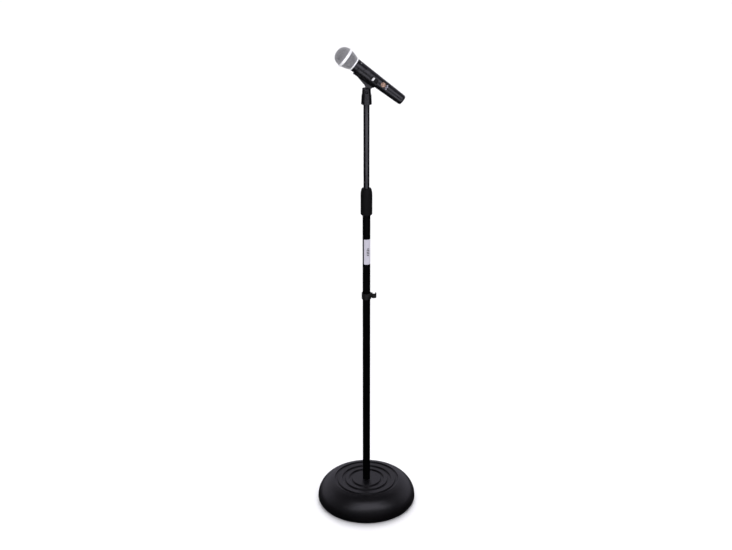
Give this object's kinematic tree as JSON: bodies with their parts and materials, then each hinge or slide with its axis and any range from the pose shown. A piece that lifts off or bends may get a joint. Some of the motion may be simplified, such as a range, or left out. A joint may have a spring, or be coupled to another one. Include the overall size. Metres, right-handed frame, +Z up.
{
  "type": "microphone stand with microphone",
  "caption": "Round-base telescoping stand with a twist clutch, a cable clip, and a tilting clip that holds a handheld microphone with a wire-mesh ball grille.",
  "frame": {"origin": "on the floor, on the axis of the pole, under the centre of the base", "axes": "+Z up the pole; the microphone lies in the XZ plane with its grille towards -X and its tail towards +X"},
  "size_m": [0.254, 0.254, 1.209],
  "materials": {
    "base_black": "satin black moulding with a fine speckled grain",
    "cement": "cast cement weight",
    "plate_black": "plain moulded plate",
    "rubber": "matt rubber",
    "steel": "zinc plated",
    "screw_black": "black oxide",
    "screw_bright": "bright zinc",
    "brass": "turned brass",
    "nylon_white": "natural nylon",
    "tube_black": "smooth satin black paint on steel tube",
    "tube_grey": "satin black chrome look with a cool sheen",
    "label_white": null,
    "plastic_black": "moulded plastic",
    "grip_black": "moulded plastic, fine matt grain",
    "clip_black": "flexible moulded plastic, satin",
    "mic_black": "satin black paint on die-cast metal",
    "badge_copper": "plain copper-coloured disc",
    "switch_white": "white plastic",
    "pin_nickel": "nickel plated pins",
    "band_silver": "bright satin silver",
    "grille_wire": "woven plated steel wire",
    "foam_black": "open-cell foam"
  },
  "bodies": {
    "stand": {"base_shell": "base_black", "base_ballast": "cement", "base_bottom_plate": "plate_black", "base_foot_ring": "rubber", "base_hub": "steel", "base_nut": "steel", "base_washer": "steel", "plate_screw_1": "screw_black", "plate_screw_2": "screw_black", "plate_screw_3": "screw_black", "lower_tube": "tube_black", "lower_tube_stud": "steel", "tube_label": "label_white", "clutch_ferrule": "steel", "clutch_collet": "nylon_white"},
    "cable_clip": {"cable_clip": "plastic_black"},
    "clutch_grip": {"clutch_grip": "grip_black", "clutch_bush": "plastic_black"},
    "mast_glide": {"upper_tube_glide": "nylon_white"},
    "mast": {"upper_tube": "tube_grey", "upper_tube_stud": "steel", "clip_socket": "clip_black", "clip_thread_insert": "brass", "clip_pivot_screw": "screw_black", "clip_pivot_nut": "screw_black"},
    "clip_cradle": {"clip_cradle": "clip_black"},
    "microphone": {"mic_body": "mic_black", "mic_badge": "badge_copper", "mic_switch_plate": "plastic_black", "mic_switch_block": "plastic_black", "mic_body_screw": "screw_bright", "mic_grille_collar": "band_silver", "mic_grille_rear": "grille_wire", "mic_grille_band": "band_silver", "mic_grille_front": "grille_wire", "mic_foam": "foam_black", "mic_capsule": "steel", "mic_capsule_mount": "rubber", "xlr_insert": "plastic_black", "xlr_pin_1": "pin_nickel", "xlr_pin_2": "pin_nickel", "xlr_pin_3": "pin_nickel", "xlr_screw": "screw_bright"},
    "mic_switch": {"mic_switch_slider": "switch_white"}
  },
  "joints": [
    {"name": "cable_clip_slide", "type": "slide", "parent": "stand", "child": "cable_clip", "axis": [0, 0, 1], "range_m": [-0.5, 0.2]},
    {"name": "clutch_turn", "type": "hinge", "parent": "stand", "child": "clutch_grip", "pos_m": [0, 0, 0.835], "axis": [0, 0, 1], "range_deg": [0, 90]},
    {"name": "mast_slide", "type": "slide", "parent": "stand", "child": "mast_glide", "axis": [0, 0, 1], "range_m": [-0.2, 0.43]},
    {"name": "mast_turn", "type": "hinge", "parent": "mast_glide", "child": "mast", "pos_m": [0, 0, 0.9], "axis": [0, 0, 1], "continuous": true},
    {"name": "clip_tilt", "type": "hinge", "parent": "mast", "child": "clip_cradle", "pos_m": [0, 0, 1.1058], "axis": [0, 1, 0], "range_deg": [-75, 52]},
    {"name": "mic_pull", "type": "slide", "parent": "clip_cradle", "child": "microphone", "axis": [-0.7944, 0, 0.6074], "range_m": [0, 0.13]},
    {"name": "switch_slide", "type": "slide", "parent": "microphone", "child": "mic_switch", "axis": [0.7944, 0, -0.6074], "range_m": [0, 0.005]}
  ]
}
